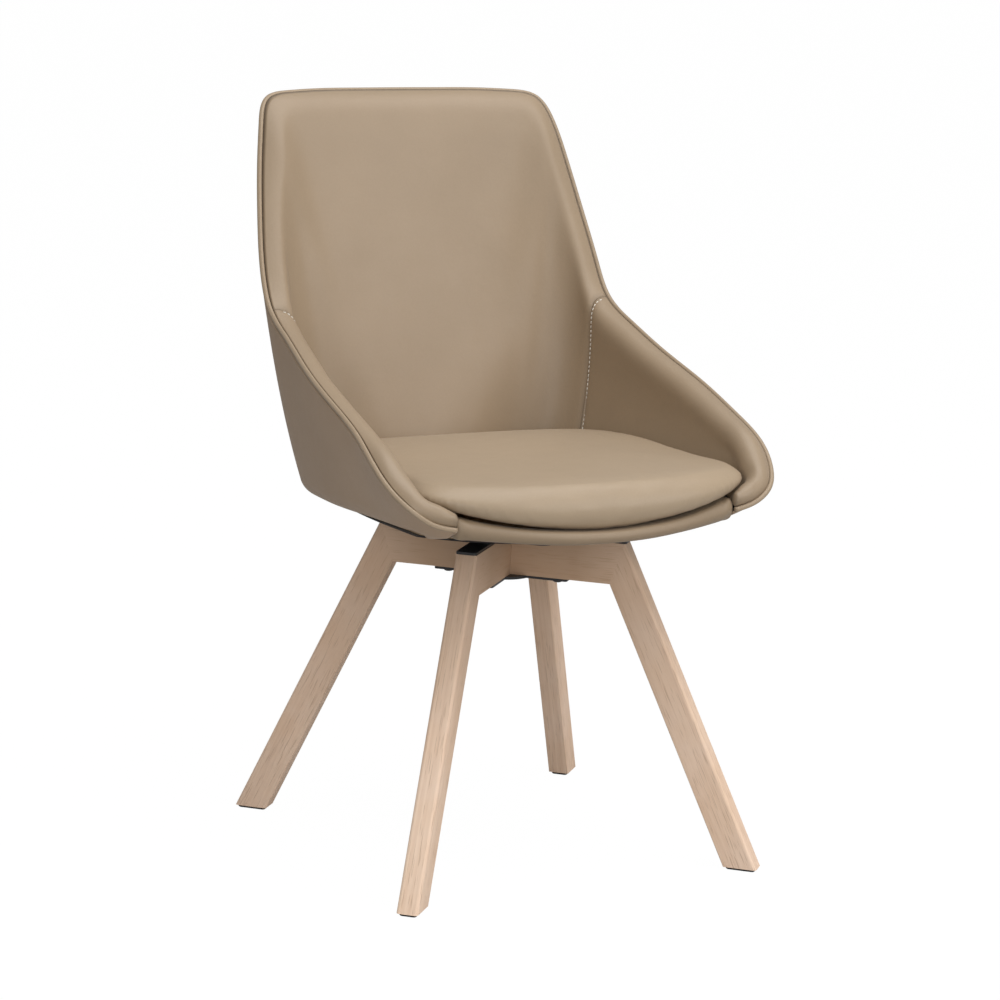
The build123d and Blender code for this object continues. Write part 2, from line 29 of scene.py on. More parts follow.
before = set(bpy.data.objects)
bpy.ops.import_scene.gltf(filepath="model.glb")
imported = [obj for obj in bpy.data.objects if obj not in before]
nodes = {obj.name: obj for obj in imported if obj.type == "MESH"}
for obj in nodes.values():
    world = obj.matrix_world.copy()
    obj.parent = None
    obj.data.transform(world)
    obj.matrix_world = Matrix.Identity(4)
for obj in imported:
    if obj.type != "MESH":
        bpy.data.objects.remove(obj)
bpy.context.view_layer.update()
join = np.concatenate
print("frame loaded:", len(nodes), "nodes")


def unit(vectors):
    # The same directions with length one.
    return vectors / np.linalg.norm(vectors, axis=-1, keepdims=True)


def paired(first, second):
    # Points of a plane from their two coordinates.
    return np.stack([first, second], 1)


def eased(share):
    # Share held between 0 and 1, with a soft start and end: 3 s^2 - 2 s^3.
    share = np.clip(share, 0, 1)
    return share * share * (3 - 2 * share)


def bell(distance, width, power=2):
    # Bell curve: e to the minus (distance / width) to a power.
    return np.exp(-(distance / width) ** power)


def smoothRows(knots, rows, at):
    # Natural cubic spline: each column of rows is a smooth line over knots, read off at other places.
    count = len(knots)
    gap = np.diff(knots)
    flat = rows.reshape(count, -1)
    slope = np.diff(flat, axis=0) / gap[:, None]
    system = np.eye(count)
    goal = np.zeros_like(flat)
    inner = np.arange(1, count - 1)
    system[inner, inner - 1] = gap[:-1]
    system[inner, inner] = 2 * (gap[:-1] + gap[1:])
    system[inner, inner + 1] = gap[1:]
    goal[1:-1] = 6 * np.diff(slope, axis=0)
    bend = np.linalg.solve(system, goal)
    index = np.clip(np.searchsorted(knots, at) - 1, 0, count - 2)
    width = gap[index][:, None]
    right = (at - knots[index])[:, None] / width
    left = 1 - right
    curve = left * flat[index] + right * flat[index + 1]
    curve += ((left ** 3 - left) * bend[index] + (right ** 3 - right) * bend[index + 1]) * width ** 2 / 6
    return curve.reshape((len(at),) + rows.shape[1:])


def arcThrough(first, middle, last, steps):
    # Circle arc through three points, row by row: centre from the two perpendicular bisectors, then
    # equal turns from the first to the last.
    a, b = middle - first, last - first
    twist = 2 * (a[:, 0] * b[:, 1] - a[:, 1] * b[:, 0])
    twist = np.where(np.abs(twist) < 1e-6, 1e-6, twist)
    aa, bb = (a ** 2).sum(1), (b ** 2).sum(1)
    centre = first + paired(b[:, 1] * aa - a[:, 1] * bb, a[:, 0] * bb - b[:, 0] * aa) / twist[:, None]
    arm = first - centre
    start = np.arctan2(arm[:, 1], arm[:, 0])
    end = np.arctan2((last - centre)[:, 1], (last - centre)[:, 0])
    way = np.sign(twist)
    sweep = np.mod((end - start) * way, 2 * np.pi) * way
    angle = start[:, None] + sweep[:, None] * np.linspace(0, 1, steps)[None]
    radius = np.hypot(arm[:, 0], arm[:, 1])[:, None]
    return np.stack([centre[:, :1] + radius * np.cos(angle), centre[:, 1:] + radius * np.sin(angle)], 2)


def between(first, last, steps):
    # Straight run from first to last, row by row.
    share = np.linspace(0, 1, steps)[None, :, None]
    return first[:, None] * (1 - share) + last[:, None] * share


def evenly(profile, steps):
    # The same flat lines with their points spread evenly by length.
    reach = np.sqrt((np.diff(profile, axis=1) ** 2).sum(2))
    place = join([np.zeros((len(profile), 1)), np.cumsum(reach, 1)], 1)
    wanted = np.linspace(0, 1, steps)
    return np.stack([[np.interp(wanted, at / at[-1], line[:, side]) for side in (0, 1)]
                     for at, line in zip(place, profile)]).swapaxes(1, 2)


def softened(values, times, axis=1):
    # Each point moves halfway to the mean of its two neighbours, again and again; the ends stay.
    for _ in range(times):
        moved = np.moveaxis(values, axis, 0).copy()
        moved[1:-1] = 0.25 * moved[:-2] + 0.5 * moved[1:-1] + 0.25 * moved[2:]
        values = np.moveaxis(moved, 0, axis)
    return values


def gridNormals(points):
    # Cross product of the two directions of a grid whose rings are closed, as unit vectors.
    along = np.gradient(points, axis=0)
    across = (np.roll(points, -1, 1) - np.roll(points, 1, 1)) / 2
    normal = np.cross(along, across)
    return normal / np.maximum(np.linalg.norm(normal, axis=2, keepdims=True), 1e-9)


def outwardNormals(points):
    # The same, all turned over if they point on the whole towards the middles of the rings.
    normal = gridNormals(points)
    facing = ((points - points.mean(1, keepdims=True)) * normal).sum(2).mean()
    return -normal if facing < 0 else normal


def waves(place, seed, lengths, size):
    # Slow unevenness: a sum of sine waves whose directions and phases come from the seed.
    draw = np.random.default_rng(seed)
    total = np.zeros(place.shape[:-1])
    for length in lengths:
        heading = unit(draw.normal(size=3))
        total += np.sin(place @ heading * 2 * np.pi / length + draw.uniform(0, 2 * np.pi))
    return size * total / math.sqrt(len(lengths))


def added(name, data):
    # New object in the scene.
    thing = bpy.data.objects.new(name, data)
    bpy.context.collection.objects.link(thing)
    return thing


def meshPiece(name, verts, faces, seam=None):
    # Smooth mesh object from millimetre points and a list of faces; seam is a shade for each point.
    mesh = bpy.data.meshes.new(name)
    mesh.from_pydata((np.asarray(verts) / 1000).tolist(), [], faces)
    if seam is not None:
        layer = mesh.attributes.new("seam", "FLOAT", "POINT")
        layer.data.foreach_set("value", seam.astype(np.float32))
    mesh.shade_smooth()
    mesh.update()
    return added(name, mesh)


def tubeGrid(name, points, seam=None):
    # Closed skin from a grid of points: rings joined one to the next, with a fan at both ends.
    rows, columns = points.shape[:2]
    index = np.arange(rows * columns).reshape(rows, columns)
    nextIndex = np.roll(index, -1, 1)
    quads = np.stack([index[:-1], nextIndex[:-1], nextIndex[1:], index[1:]], 2).reshape(-1, 4)
    centres = [points[0].mean(0), points[-1].mean(0)]
    startFan = np.stack([np.full(columns, rows * columns), nextIndex[0], index[0]], 1)
    endFan = np.stack([np.full(columns, rows * columns + 1), index[-1], nextIndex[-1]], 1)
    sample = points[rows // 2]
    ring = np.cross(sample - sample.mean(0), np.roll(sample, -1, 0) - sample.mean(0)).sum(0)
    ahead = points[min(rows // 2 + 1, rows - 1)].mean(0) - points[rows // 2 - 1].mean(0)
    faces = quads.tolist() + startFan.tolist() + endFan.tolist()
    if ring @ ahead > 0:  # the ring turns the other way, so every face is turned over
        faces = [face[::-1] for face in faces]
    if seam is not None:
        seam = np.broadcast_to(seam, (rows, columns)).reshape(-1)
        seam = join([seam, seam[:1], seam[-1:]])
    return meshPiece(name, join([points.reshape(-1, 3), centres]), faces, seam)


bucket = {
    # Piping point and lower edge point of each rib, from the band to the middle of the back.
    "ribs": [
        (176, -217, 424, 176, -194, 412.5), (201, -216, 431, 187, -186, 412.5),
        (223, -211, 443, 194, -171, 413), (240, -190, 461, 199, -149, 413),
        (248, -154, 486, 201, -118, 411), (245, -102, 511, 202, -78, 409),
        (243, -28, 536, 202, -18, 406), (237, 58, 562, 197, 62, 400),
        (231, 122, 586, 189, 120, 395.5), (227.5, 178, 614, 178, 165, 391),
        (225, 203, 650, 165, 188, 388.5), (217.5, 231, 707, 148, 204, 387.5),
        (206, 261, 775, 125, 214, 387), (197, 279, 814, 98, 219, 386.8),
        (182, 297, 841, 74, 221, 386.7), (150, 306, 847.5, 56, 222, 386.7),
        (104, 313.5, 849, 38, 222.5, 386.6), (52, 318.5, 849, 19, 223, 386.6),
        (0, 320, 849, 0, 223, 386.6)],
    "frontHeadings": (0, 12, 35, 58, 78),  # turn of the first ribs, in degrees
    "gather": (-150.0, 120.0),  # the others aim between these depths
    "underHeight": 395.0,  # underside at the origin, and its tilt in degrees
    "tilt": 1.7,
    "flangeReach": 36.0,  # lower flange: how far in, and how far down at most
    "flangeFall": 8.0,
    "heelRadius": 17.0,
    "bulge": (5.0, 9.0),  # swell of the wall at the arms and at the back
    "lowWall": 100.0,  # a wall lower than this swells less
    "seamRib": 9, "cornerRib": 14,
}


class RibSet:
    # The bucket's ribs as cross-section planes, from the right arm's front round to the left one's.
    # Profiles on them are drawn as p outward and q upward from each rib's foot.
    def __init__(self):
        b = bucket
        half = np.array(b["ribs"], float)
        rim, foot = half[:, :3], half[:, 3:]
        number = np.arange(len(half))
        goal = np.stack([0 * foot[:, 0], np.clip(foot[:, 1], *b["gather"]), foot[:, 2]], 1)
        inward = goal - foot
        turned = np.radians(b["frontHeadings"])
        inward[:len(turned)] = np.stack([-np.sin(turned), np.cos(turned), 0 * turned], 1)
        inner = foot + unit(inward) * b["flangeReach"]
        under = b["underHeight"] - math.tan(math.radians(b["tilt"])) * inner[:, 1]
        inner[:, 2] = np.maximum(under, foot[:, 2] - b["flangeFall"])
        across = unit(foot - inner)
        rimP = ((rim - foot) * across).sum(1)
        up = rim - foot - across * rimP[:, None]
        rimQ = np.linalg.norm(up, axis=1)
        onBack = eased((number - b["seamRib"]) / (b["cornerRib"] - b["seamRib"]))

        def both(values):
            # The given half after its mirror image.
            other = values[:-1] * np.array([-1.0, 1.0, 1.0]) if values.ndim == 2 else values[:-1]
            return join([other, values[::-1]])

        self.rim, self.foot, self.across, self.up = map(both, (rim, foot, across, up / rimQ[:, None]))
        self.rimP, self.rimQ, self.onBack, self.number = map(both, (rimP, rimQ, onBack, number))
        steps = np.linalg.norm(np.diff(self.rim, axis=0), axis=1)
        self.places = join([[0], np.cumsum(steps)])
        self.length = np.hypot(self.rimP, self.rimQ)
        ahead = unit(np.gradient(self.rim, axis=0))
        slope = (self.rim - self.foot) / self.length[:, None]
        self.slant = np.sqrt(np.clip(1 - (ahead * slope).sum(1) ** 2, 0.05, 1))

    def skin(self, flat, places):
        # Profiles put into the room, then each of their points carried along its own smooth line to
        # places along the rim, in millimetres from its start.
        room = self.foot[:, None] + self.across[:, None] * flat[:, :, :1] + self.up[:, None] * flat[:, :, 1:]
        return smoothRows(self.places, room, places)

    def wall(self, depth, share):
        # Point on the wall, depth inside the outer face and share of the way up, with its swell.
        depth, share = np.broadcast_arrays(np.asarray(depth, float), np.asarray(share, float))
        cornerP = -depth * (self.length - self.rimP) / self.rimQ
        topP = self.rimP - depth * self.rimQ / self.length
        topQ = self.rimQ + depth * self.rimP / self.length
        swell = np.interp(self.onBack, (0, 1), bucket["bulge"])
        swell = swell * np.minimum(1.0, self.rimQ / bucket["lowWall"]) * 4 * share * (1 - share)
        p = cornerP + (topP - cornerP) * share + swell * self.rimQ / self.length
        q = depth + (topQ - depth) * share - swell * self.rimP / self.length
        return paired(p, q)


ribs = RibSet()
rimLength = ribs.places[-1]
seamPlaces = ribs.places[bucket["seamRib"]], rimLength - ribs.places[bucket["seamRib"]]


cover = {
    "thickness": 2.3, "rimGap": 3.2,
    "heelShare": 0.6,  # of a low wall, at most, in the heel's radius
    "innerHeel": (1.0, 0.4),  # least inner radius, and what depth adds to it
    "heelPull": (0.08, 0.84),  # pull of its ends and of the sharp corner
    "step": 5.0, "steps": (34, 12, 9),  # along the rim; wall, heel and flange
    "waveLengths": (310, 240, 170), "waviness": 0.35,
}


def coverPath(depth):
    # From under the piping down the wall, round the heel by a quarter curve and in along the flange.
    heel = np.minimum(bucket["heelRadius"], ribs.rimQ * cover["heelShare"])
    least, slack = cover["innerHeel"]
    radius = np.maximum(heel - depth, least) + depth * slack
    startShare = radius / ribs.length
    topShare = 1 - cover["rimGap"] / (ribs.length * ribs.slant)
    top, bend, corner = ribs.wall(depth, topShare), ribs.wall(depth, startShare), ribs.wall(depth, 0)
    level = np.full(len(radius), float(depth))
    under = paired(corner[:, 0] - radius, level)
    half = ribs.wall(depth, 0.5 * (topShare + startShare))
    pull = cover["heelPull"][0] * (bend + under) + cover["heelPull"][1] * corner
    wallSteps, heelSteps, flangeSteps = cover["steps"]
    share = np.linspace(0, 1, heelSteps)[None, :, None]
    turn = (bend[:, None] * (1 - share) ** 2 + pull[:, None] * 2 * share * (1 - share)
            + under[:, None] * share ** 2)
    end = paired(np.full(len(radius), -bucket["flangeReach"]), level)
    return join([arcThrough(top, half, bend, wallSteps), turn[:, 1:],
                           between(under, end, flangeSteps)[:, 1:]], 1)


def makeCover():
    # Leather skin of even thickness carried round the outside of the bucket, waving slowly.
    outer = coverPath(0)
    inner = coverPath(cover["thickness"])
    places = np.linspace(0, rimLength, int(rimLength / cover["step"]) + 1)
    skin = ribs.skin(join([outer, inner[:, ::-1]], 1), places)
    count = outer.shape[1]
    lift = gridNormals(skin)
    facing = np.sign((lift[:, count // 2] * (skin[:, count // 2] - skin[:, -count // 2])).sum(1).mean())
    share = join([np.sin(np.linspace(0, np.pi, count)), np.zeros(count)])
    wave = waves(skin, 11, cover["waveLengths"], cover["waviness"]) * share
    return tubeGrid("bucketCover", skin + facing * lift * wave[:, :, None])


padding = {
    "wrapDepth": 5.9,  # start, next to the piping
    "depth": 10.4,  # outer side, inside the shell
    "faceDepth": 10.1,  # the thickness counts from here
    "low": (10.0, 36.0),  # thickness at the cushion, on the arms and on the back
    "lowerEdge": (24.0, 0.35),  # end above the wall's foot, at most this share
    "ledge": (6.0, 0.3),  # the outer side leaves the shell this far below the rim, at most this share
    # The roll by ribs: crest inward of the piping and above it, shoulder inward of the crest and below.
    "nose": [(0, -1, 22, 10, 9), (1, 6, 30, 11, 14), (2, 15, 28, 11, 18), (3, 20, 21, 11, 20),
             (4, 22, 16, 9, 19), (5, 20, 8, 10, 17), (6, 19, 6, 11, 16), (7, 19, 5, 11, 16),
             (9, 17, 3, 12, 15.5), (11, 11, 3, 14, 15.5)],
    "straightUpTo": 2,  # earlier ribs have a straighter face
    "faceSteps": 72, "faceEvenings": 22,  # points of roll and inner face
    "puff": (1.5, 15.0, 12.0),  # bulge of the roll beside the band: height, place and half length
    "puffStart": (6.0, 14.0),  # where it rises, from the piping, and over what length
    "evenUpTo": 110.0,  # the arms are evened out along the rim up to here
    "evenings": 160,
    "evenRise": 16,  # points over which this sets in
    "seamDepth": 3.6, "seamWidth": 7.0,  # the seams draw the leather in
    "seamLean": (7.0, 38.0),  # lean to the front, at the rim and by the cube of the way down
    "seamShade": 5.0,  # width of the darker line along a seam
    "endDepth": 1.6, "endGap": 0.25,  # beside the front band
    "valley": (0.4, 46.0, 13.0),  # hollow of the back: depth, way from the piping, width
    "waveLengths": (190, 140, 95, 60), "waviness": 0.5,
    "calm": 25.0,  # the waves grow over this length
    "step": 4.0,
}


def padProfile():
    # Outer side up to the piping, over the roll by an arc, down the inner face by a flatter one.
    # Given with it: which of the points belong to the visible roll and face.
    p = padding
    thickness = np.interp(ribs.onBack, (0, 1), p["low"])
    low = np.minimum(p["lowerEdge"][0] / ribs.length, p["lowerEdge"][1])
    half = (low + 1) / 2
    bottomOut = ribs.wall(p["depth"], low)
    topOut = ribs.wall(p["wrapDepth"], 1)
    nose = np.array(p["nose"], float).T
    inward, above, reach, fall = (np.interp(ribs.number, nose[0], values) for values in nose[1:])
    crest = paired(topOut[:, 0] - inward, ribs.rimQ + above)
    shoulder = crest - paired(reach, np.minimum(fall, 0.5 * (crest[:, 1] - bottomOut[:, 1])))
    bottomIn = paired(ribs.wall(p["faceDepth"], low)[:, 0] - thickness, bottomOut[:, 1])
    inner = ribs.wall(p["faceDepth"], half - 0.04) - paired(thickness, 0 * thickness)
    short = np.maximum(0, 1 - ribs.number / p["straightUpTo"])[:, None]
    inner = (1 - short) * inner + short * (0.5 * (shoulder + bottomIn) - np.array([1.0, 0.0]))
    drop = np.minimum(p["ledge"][0], p["ledge"][1] * ribs.rimQ) / ribs.length
    ledge = ribs.wall(p["depth"], 1 - drop)
    hidden = join([arcThrough(bottomOut, ribs.wall(p["depth"], half), ledge, 16)[:, :-1],
                             between(ledge, topOut, 5)[:, :-1]], 1)
    seen = join([arcThrough(topOut, crest, shoulder, 24)[:, :-1],
                           arcThrough(shoulder, inner, bottomIn, 30)], 1)
    seen = softened(evenly(seen, p["faceSteps"]), p["faceEvenings"])
    floor = between(bottomIn, bottomOut, 6)[:, 1:-1]
    start = hidden.shape[1]
    return join([hidden, seen, floor], 1), slice(start, start + p["faceSteps"])


padFlat, facePart = padProfile()
fineRings = np.linspace(0, rimLength, int(rimLength))
fineSkin = ribs.skin(padFlat, fineRings)


def skinAt(places):
    # The padding's skin with each profile point at a place of its own, in proportion between two of
    # the fine rings.
    spot = np.clip(places / fineRings[1], 0, len(fineRings) - 1.001)
    below = spot.astype(int)
    part = (spot - below)[:, :, None]
    column = np.arange(places.shape[1])[None]
    return fineSkin[below, column] * (1 - part) + fineSkin[below + 1, column] * part


def seamLine(place):
    # Where a sewn seam crosses each profile point, as a place along the rim.
    height = padFlat[bucket["seamRib"], :, 1]
    lean = padding["seamLean"][0] + padding["seamLean"][1] * (1 - height / height.max()) ** 3
    side = {seamPlaces[0]: -1, seamPlaces[1]: 1}.get(place, 0)
    return place + side * lean


def onFace(rise):
    # Share for each profile point: none on the outer side, rising on the face to 1, and 1 below.
    share = np.zeros(padFlat.shape[1])
    share[facePart] = np.clip(rise, 0, 1)
    share[facePart.stop:] = 1
    return share


def makePad(name, start, end, seed):
    # Padding between two lines across the rim. Where a sewn seam ends it, the face dips by a bell curve.
    p = padding
    first, last = seamLine(start), seamLine(end)
    count = int((end - start) / p["step"])
    share = np.linspace(0, 1, count)
    share = 0.25 + 0.5 * share - 0.25 * np.cos(np.pi * share)  # closer together at the ends
    places = first + p["endGap"] + (last - first - 2 * p["endGap"]) * share[:, None]
    skin = skinAt(places)
    beside = np.minimum(places, rimLength - places)
    near = onFace(np.arange(p["faceSteps"]) / p["evenRise"]) * bell(beside, p["evenUpTo"], 4)
    skin = skin + (softened(skin, p["evenings"], 0) - skin) * near[:, :, None]
    normal = outwardNormals(skin)
    dip, mark, fromRim = np.zeros((3,) + places.shape)
    for place in (*seamPlaces, 0, rimLength):
        away = np.abs(places - seamLine(place))
        depth = p["seamDepth" if place in seamPlaces else "endDepth"]
        dip += depth * bell(away, p["seamWidth"], 1.3)
        mark = np.maximum(mark, bell(away, p["seamShade"]))
    stretch = np.linalg.norm(np.diff(skin[:, facePart], axis=1), axis=2)
    fromRim[:, facePart] = join([np.zeros((count, 1)), np.cumsum(stretch, 1)], 1)
    deep, behind, width = p["valley"]
    valley = deep * bell(fromRim - behind, width) * np.interp(places, ribs.places, ribs.onBack)
    uneven = waves(skin, seed, p["waveLengths"], p["waviness"]) * (1 - np.exp(-fromRim / p["calm"]))
    height, place, reach = p["puff"]
    rise = np.clip((fromRim - p["puffStart"][0]) / p["puffStart"][1], 0, 1)
    puff = height * bell(beside - place, reach) * rise
    shown = onFace(np.linspace(0, 9, p["faceSteps"]))
    skin = skin + normal * ((uneven + puff - dip - valley) * shown)[:, :, None]
    piece = tubeGrid(name, skin, mark)
    return piece, places[:, facePart], skin[:, facePart], normal[:, facePart]


piping = {"radius": 2.9, "inset": 2.4, "sides": 20, "seamDip": 0.35, "dipWidth": 0.3, "step": 3.0}


def makePiping():
    # Cord covered in the same leather, sewn along the whole rim: a circle carried along a path, each
    # ring square to it, turned as little as possible and dented along one line by a bell curve.
    places = np.linspace(0, rimLength, int(rimLength / piping["step"]) + 1)
    path = ribs.skin(ribs.wall(piping["inset"], 1)[:, None], places)[:, 0]
    ahead = unit(np.gradient(path, axis=0))
    lift = unit(np.cross(ahead, (0.0, 0.0, 1.0)) + 1e-3 * np.cross(ahead, (0.0, 1.0, 0.0)))
    for row in range(1, len(lift)):  # the frame is carried on from ring to ring
        lift[row] = unit(lift[row - 1] - ahead[row] * (lift[row - 1] @ ahead[row]))
    side = np.cross(ahead, lift)
    angle = np.linspace(0, 2 * np.pi, piping["sides"], endpoint=False)
    size = piping["radius"] - piping["seamDip"] * bell(angle - np.pi, piping["dipWidth"])
    turn = np.cos(angle)[None, :, None] * lift[:, None] + np.sin(angle)[None, :, None] * side[:, None]
    return tubeGrid("rimPiping", path[:, None] + size[None, :, None] * turn)


band = {
    "halfLength": 175.6, "depth": (40.0, 25.0), "front": -245.0, "sweep": 31.0,
    "bottom": (404.2, 11.0), "top": (417.8, 20.6), "backFall": 2.0,
    "setBack": (8.0, 10.0),  # ends of the rolled face behind its foremost line
    "foremost": 0.45,  # height of that line
    "topCrown": 0.3,
    "rings": 150, "steps": (26, 12, 8, 12), "evenings": 8,
    "endDip": (1.3, 2.2),  # drawn in at the end seams: depth, width
    "wrapProud": (1.0, 26.0),  # proud beside them: height, width
    "pucker": (0.5, 4.2, 9.0),  # height, pitch and reach
    "waveLengths": (90, 60), "waviness": 0.18, "seamShade": 3.5,
}


def makeBand():
    # Rounded section carried from arm to arm, its edges bent by the square of x, drawn in at both
    # end seams and puckered beside them.
    b = band
    share = np.linspace(-1, 1, b["rings"])
    share = np.sign(share) * (1 - (1 - np.abs(share)) ** 1.25)  # closer together at the ends
    x = share * b["halfLength"]
    bend = (x / b["halfLength"]) ** 2
    front = b["front"] + b["sweep"] * bend
    back = front + np.interp(bend, (0, 1), b["depth"])
    low, high = (b[key][0] + b[key][1] * bend for key in ("bottom", "top"))
    foot, brow = front + b["setBack"][0], front + b["setBack"][1]
    rearTop = paired(back, high - b["backFall"])
    crown = paired(0.5 * (brow + back), high - 0.3 * b["backFall"] + b["topCrown"])
    faceSteps, topSteps, rearSteps, floorSteps = b["steps"]
    nose = paired(front, low + b["foremost"] * (high - low))
    ring = join([arcThrough(paired(foot, low), nose, paired(brow, high), faceSteps)[:, :-1],
                           arcThrough(paired(brow, high), crown, rearTop, topSteps)[:, :-1],
                           between(rearTop, paired(back, low), rearSteps)[:, :-1],
                           between(paired(back, low), paired(foot, low), floorSteps)[:, :-1]], 1)
    lap = b["evenings"]
    ring = softened(join([ring[:, -lap:], ring, ring[:, :lap]], 1), lap)[:, lap:-lap]
    skin = join([np.broadcast_to(x[:, None, None], ring.shape[:2] + (1,)), ring], 2)
    normal = outwardNormals(skin)
    away = b["halfLength"] - np.abs(x)
    dip, dipWidth = b["endDip"]
    rise, riseWidth = b["wrapProud"]
    proud = rise * bell(away, riseWidth) - (dip + rise) * bell(away, dipWidth, 1.5)
    height, pitch, reach = b["pucker"]
    turn = np.linspace(0, 2 * np.pi, skin.shape[1], endpoint=False)[None]
    fold = np.sin(3 * turn + away[:, None] / pitch + 0.7 * np.sin(2 * turn))
    fold = fold * bell(away[:, None] - reach, reach)
    uneven = waves(skin, 23, b["waveLengths"], b["waviness"])
    skin = skin + normal * (proud[:, None] + height * fold + uneven)[:, :, None]
    return tubeGrid("frontBand", skin, bell(away, b["seamShade"])[:, None])


cushion = {
    "frontEdge": [(0, -240), (50, -239.5), (95, -236.5), (135, -230),
                  (163, -221), (186, -210), (204, -199), (212, -183)],
    "hugLevel": (449.0, 440.0),  # the outline follows the padding at these heights
    "hugFrom": -165.0, "hugGap": 0.6,
    "outlineSteps": 360, "outlineEvenings": 60, "centreY": -25.0,
    "low": (417.8, 25.0, 187.0),  # lower edge in front, its rise, and where
    "behind": (428.0, -195.0, 90.0),  # lower edge behind, its start and reach
    "crown": 475.0,
    "sideDrop": (2.5, 200.0),  # fall of the crown to the sides, and where
    "rearFall": (-20.0, 28.0, 190.0),  # start, fall and where it counts
    "crownPower": 2.2,
    "edge": (0.97, 0.45, 0.9, 17.0),  # reach of the underside, heights of bulge and shoulder, its width
    "pole": 0.012,
    "steps": (24, 22, 60), "evenings": 5,  # underside, edge and crown
    "startInside": 0.8,  # the form starts this much smaller, and swells
    "voxel": 0.0045, "pressure": 4.0, "frames": 20, "mass": 0.4, "stretch": 25, "stiffness": 6,
    "mostMove": 0.002, "inward": 0.1, "smoothings": 3,
}


def padContact(skin, level):
    # Where the padding's inner faces pass a height: in proportion between the last point above it on
    # each profile and the next one.
    above = skin[:, :, 2] > level
    last = skin.shape[1] - 2 - np.argmax(above[:, ::-1][:, 1:], axis=1)
    rows = np.arange(len(skin))
    high, low = skin[rows, last], skin[rows, last + 1]
    part = ((high[:, 2] - level) / (high[:, 2] - low[:, 2]))[:, None]
    return (high + (low - high) * part)[above.any(1) & (high[:, 2] >= level) & (low[:, 2] < level), :2]


def cushionOutline():
    # Plan of the cushion: a front edge through given points, then the line where the padding stands.
    c = cushion
    front = np.array(c["frontEdge"], float)
    arms = padContact(pads["armPadLeft"][1], c["hugLevel"][0])
    arms = arms[arms[:, 1] > c["hugFrom"]]
    back = padContact(pads["backPad"][1], c["hugLevel"][1])
    back = back[back[:, 0] >= 0]
    side = join([arms[np.argsort(arms[:, 1])], back[np.argsort(-back[:, 0])]])
    side = side + c["hugGap"] * unit(np.array([0, c["centreY"]]) - side)
    half = join([front, side])
    loop = join([half, half[::-1][1:-1] * (-1, 1)])
    loop = join([loop, loop[:1]])
    loop = evenly(loop[None], c["outlineSteps"] + 1)[0][:-1]
    for _ in range(c["outlineEvenings"]):  # rounds the joins of the two lines
        loop = 0.25 * np.roll(loop, 1, 0) + 0.5 * loop + 0.25 * np.roll(loop, -1, 0)
    return loop


def cushionForm():
    # Its outline drawn in towards the centre: flat underside, edge that bulges by a parabola, then a
    # crown that rises by a power of the distance.
    c = cushion
    outline = cushionOutline()
    centre = np.array([0, c["centreY"]])
    reach = np.linalg.norm(outline - centre, axis=1).mean()
    under, bulge, shoulder, width = c["edge"]
    shoulderIn = 1 - width / reach
    floorSteps, edgeSteps, crownSteps = c["steps"]
    turn = np.linspace(0, 1, edgeSteps)[:, None]
    ends = np.array([[[under, 0.0]], [[1.0, bulge]], [[shoulderIn, shoulder]]])
    arc = arcThrough(*ends, 3)[0]
    curve = (arc[0] * (1 - turn) * (1 - 2 * turn) + 4 * arc[1] * turn * (1 - turn)
             + arc[2] * turn * (2 * turn - 1))
    crown = np.linspace(shoulderIn, c["pole"], crownSteps)[1:]
    crown = paired(crown, 1 - (1 - shoulder) * (crown / shoulderIn) ** c["crownPower"])
    floor = paired(np.linspace(c["pole"], under, floorSteps)[:-1], np.zeros(floorSteps - 1))
    profile = softened(join([floor, curve, crown])[None], c["evenings"])[0]
    share, height = profile[:, 0][:, None, None], profile[:, 1][:, None]
    plan = centre + share * (outline - centre)[None]
    x, y = plan[:, :, 0], plan[:, :, 1]
    behind = eased((outline[:, 1] - c["behind"][1]) / c["behind"][2])
    low = c["low"][0] + c["low"][1] * (outline[:, 0] / c["low"][2]) ** 2
    low = low * (1 - behind) + c["behind"][0] * behind
    fallFrom, fall, fallAt = c["rearFall"]
    top = c["crown"] - c["sideDrop"][0] * (x / c["sideDrop"][1]) ** 2
    top = top - fall * np.clip((y - fallFrom) / (fallAt - fallFrom), 0, 1.1) ** 2
    return join([plan, (low[None] + (top - low[None]) * height)[:, :, None]], 2)


def onlyThis(piece):
    # The one selected and active object.
    bpy.ops.object.select_all(action="DESELECT")
    piece.select_set(True)
    bpy.context.view_layer.objects.active = piece


def vertexRows(piece, label):
    # Three numbers for each vertex of a mesh.
    values = np.empty(len(piece.data.vertices) * 3)
    piece.data.vertices.foreach_get(label, values)
    return values.reshape(-1, 3)


